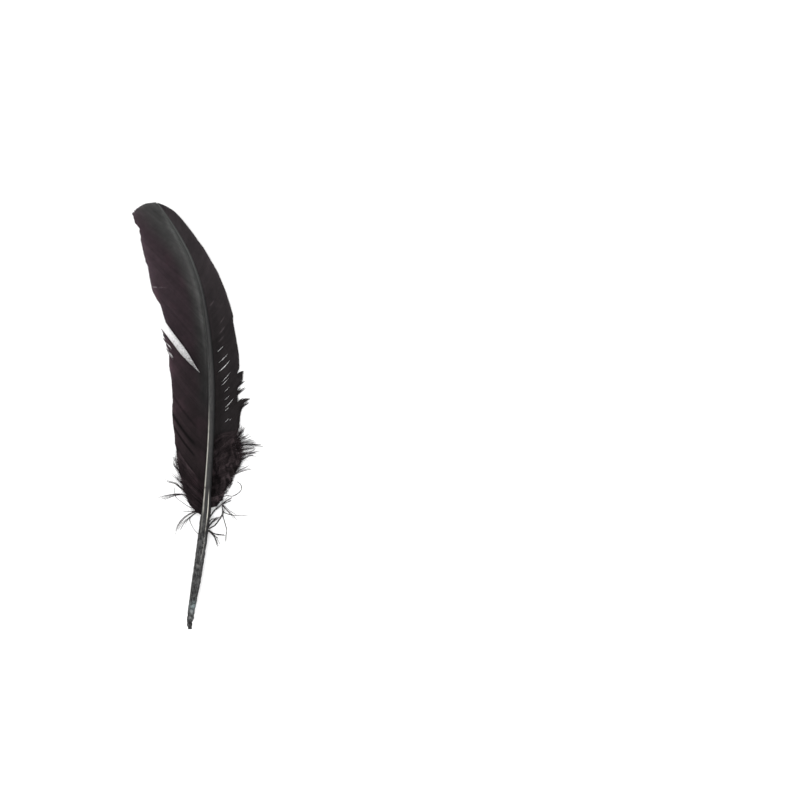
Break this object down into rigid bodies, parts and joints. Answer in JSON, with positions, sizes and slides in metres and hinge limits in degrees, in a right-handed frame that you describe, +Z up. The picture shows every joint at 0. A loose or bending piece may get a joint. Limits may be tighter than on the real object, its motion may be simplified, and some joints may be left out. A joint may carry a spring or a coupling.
{
  "type": "feather",
  "caption": "Dyed black wing feather lying on its back: a grooved shaft between a wide vane and a narrow vane, a split in the wide vane, and loose down at their base.",
  "frame": {"origin": "on the surface the feather lies on, under the middle of its box", "axes": "+Y from the quill's end to the top of the vanes, +X towards the narrow vane, +Z up, out of the grooved side of the shaft"},
  "size_m": [0.0874, 0.29, 0.0081],
  "materials": {
    "horn": "dyed grey-black horn, satin, with pale ridges beside the groove",
    "vane": "dyed black web of barbs with a soft sheen",
    "down": "dyed black loose down, matt"
  },
  "bodies": {
    "root": {"shaft": "horn", "wide_vane": "vane", "narrow_vane": "vane", "left_down": "down", "right_down": "down"}
  },
  "joints": []
}
